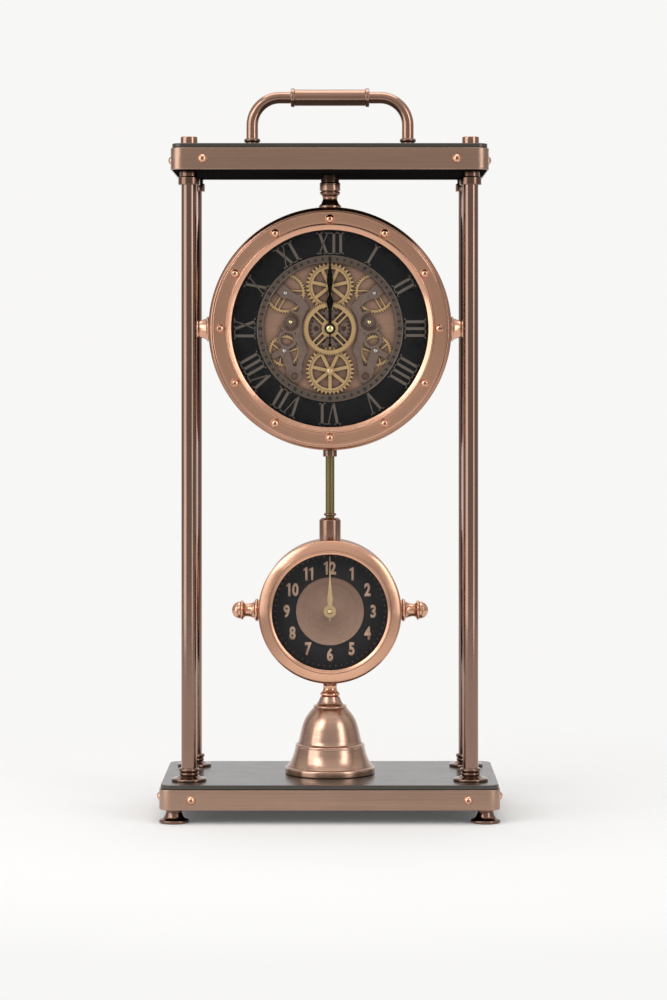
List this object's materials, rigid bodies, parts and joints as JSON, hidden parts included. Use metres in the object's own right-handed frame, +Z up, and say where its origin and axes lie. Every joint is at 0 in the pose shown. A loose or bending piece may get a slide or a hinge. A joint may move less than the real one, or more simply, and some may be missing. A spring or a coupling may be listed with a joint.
{
  "type": "floor clock",
  "caption": "Copper floor clock: an open-wheel clock hung in a post frame with a carrying handle, linked by a rod to a small clock on a bell-shaped foot.",
  "frame": {"origin": "on the floor, under the middle of the base", "axes": "+Z up, +X to the right seen from the front, the dials face -Y"},
  "size_m": [0.3542, 0.1932, 0.7554],
  "materials": {
    "copper": "polished rose copper plate",
    "band_copper": "brushed antique copper",
    "post_copper": "brushed brown copper",
    "plate_copper": "brushed copper brown",
    "bronze": "dull antique bronze",
    "gold": "antique gold",
    "rod_brass": "olive antique brass",
    "steel": "plain steel",
    "dark_gloss": "dark brown-grey gloss",
    "black_board": "black painted board",
    "dial_black": "matt black",
    "hand_black": "satin black",
    "back_black": "satin black",
    "black_plastic": "matt black",
    "lens": "clear"
  },
  "bodies": {
    "frame": {"base_band": "band_copper", "base_board": "black_board", "base_plate": "dark_gloss", "feet": "post_copper", "band_screws": "copper", "post_front_left": "post_copper", "post_front_right": "post_copper", "post_rear_left": "post_copper", "post_rear_right": "post_copper", "post_flanges": "post_copper", "post_collars": "post_copper", "post_caps": "copper", "tie_rods": "steel", "top_band": "band_copper", "top_board": "black_board", "top_plate": "dark_gloss", "handle_bail": "copper", "handle_grip": "copper", "handle_rings": "copper", "handle_flanges": "copper", "hanger_stem": "copper", "main_case": "copper", "main_bezel": "copper", "bezel_screws": "copper", "main_lens": "lens", "chapter_ring": "dial_black", "minute_track": "bronze", "gear_plate": "plate_copper", "bridge_left": "bronze", "bridge_right": "bronze", "bridge_screws": "steel", "upper_wheels": "gold", "lower_wheels": "gold", "side_pinions": "bronze", "main_movement": "black_plastic", "main_back_cover": "back_black", "side_cones": "copper", "link_rod": "rod_brass", "rod_ferrule": "copper", "sub_case": "copper", "sub_knobs": "copper", "sub_bezel": "copper", "sub_lens": "lens", "sub_dial": "dial_black", "sub_dial_disc": "plate_copper", "sub_movement": "black_plastic", "sub_back_cover": "back_black", "pedestal_neck": "copper", "pedestal_bell": "copper"},
    "gear_train": {"centre_gear": "gold", "transfer_gear": "bronze"},
    "top_wheel": {"top_gear": "gold"},
    "bottom_wheel": {"bottom_gear": "gold"},
    "main_minute": {"minute_hand": "hand_black", "hand_nut": "gold", "main_set_knob": "black_plastic"},
    "main_hour": {"hour_hand": "hand_black"},
    "sub_minute": {"sub_minute_hand": "gold", "sub_set_knob": "black_plastic"},
    "sub_hour": {"sub_hour_hand": "gold"}
  },
  "joints": [
    {"name": "gear_train_spin", "type": "hinge", "parent": "frame", "child": "gear_train", "pos_m": [0, 0, 0.5038], "axis": [0, 1, 0], "continuous": true},
    {"name": "top_wheel_spin", "type": "hinge", "parent": "frame", "child": "top_wheel", "pos_m": [0, 0, 0.5479], "axis": [0, 1, 0], "continuous": true},
    {"name": "bottom_wheel_spin", "type": "hinge", "parent": "frame", "child": "bottom_wheel", "pos_m": [0, 0, 0.4597], "axis": [0, 1, 0], "continuous": true},
    {"name": "main_minute_spin", "type": "hinge", "parent": "frame", "child": "main_minute", "pos_m": [0, 0, 0.5038], "axis": [0, 1, 0], "continuous": true},
    {"name": "main_hour_spin", "type": "hinge", "parent": "frame", "child": "main_hour", "pos_m": [0, 0, 0.5038], "axis": [0, 1, 0], "continuous": true},
    {"name": "sub_minute_spin", "type": "hinge", "parent": "frame", "child": "sub_minute", "pos_m": [0, 0, 0.2098], "axis": [0, 1, 0], "continuous": true},
    {"name": "sub_hour_spin", "type": "hinge", "parent": "frame", "child": "sub_hour", "pos_m": [0, 0, 0.2098], "axis": [0, 1, 0], "continuous": true}
  ],
  "couplings": [
    {"joint": "top_wheel_spin", "follows": "gear_train_spin", "ratio": -0.85294},
    {"joint": "bottom_wheel_spin", "follows": "gear_train_spin", "ratio": -0.85294},
    {"joint": "main_hour_spin", "follows": "main_minute_spin", "ratio": 0.083333},
    {"joint": "sub_hour_spin", "follows": "sub_minute_spin", "ratio": 0.083333}
  ]
}
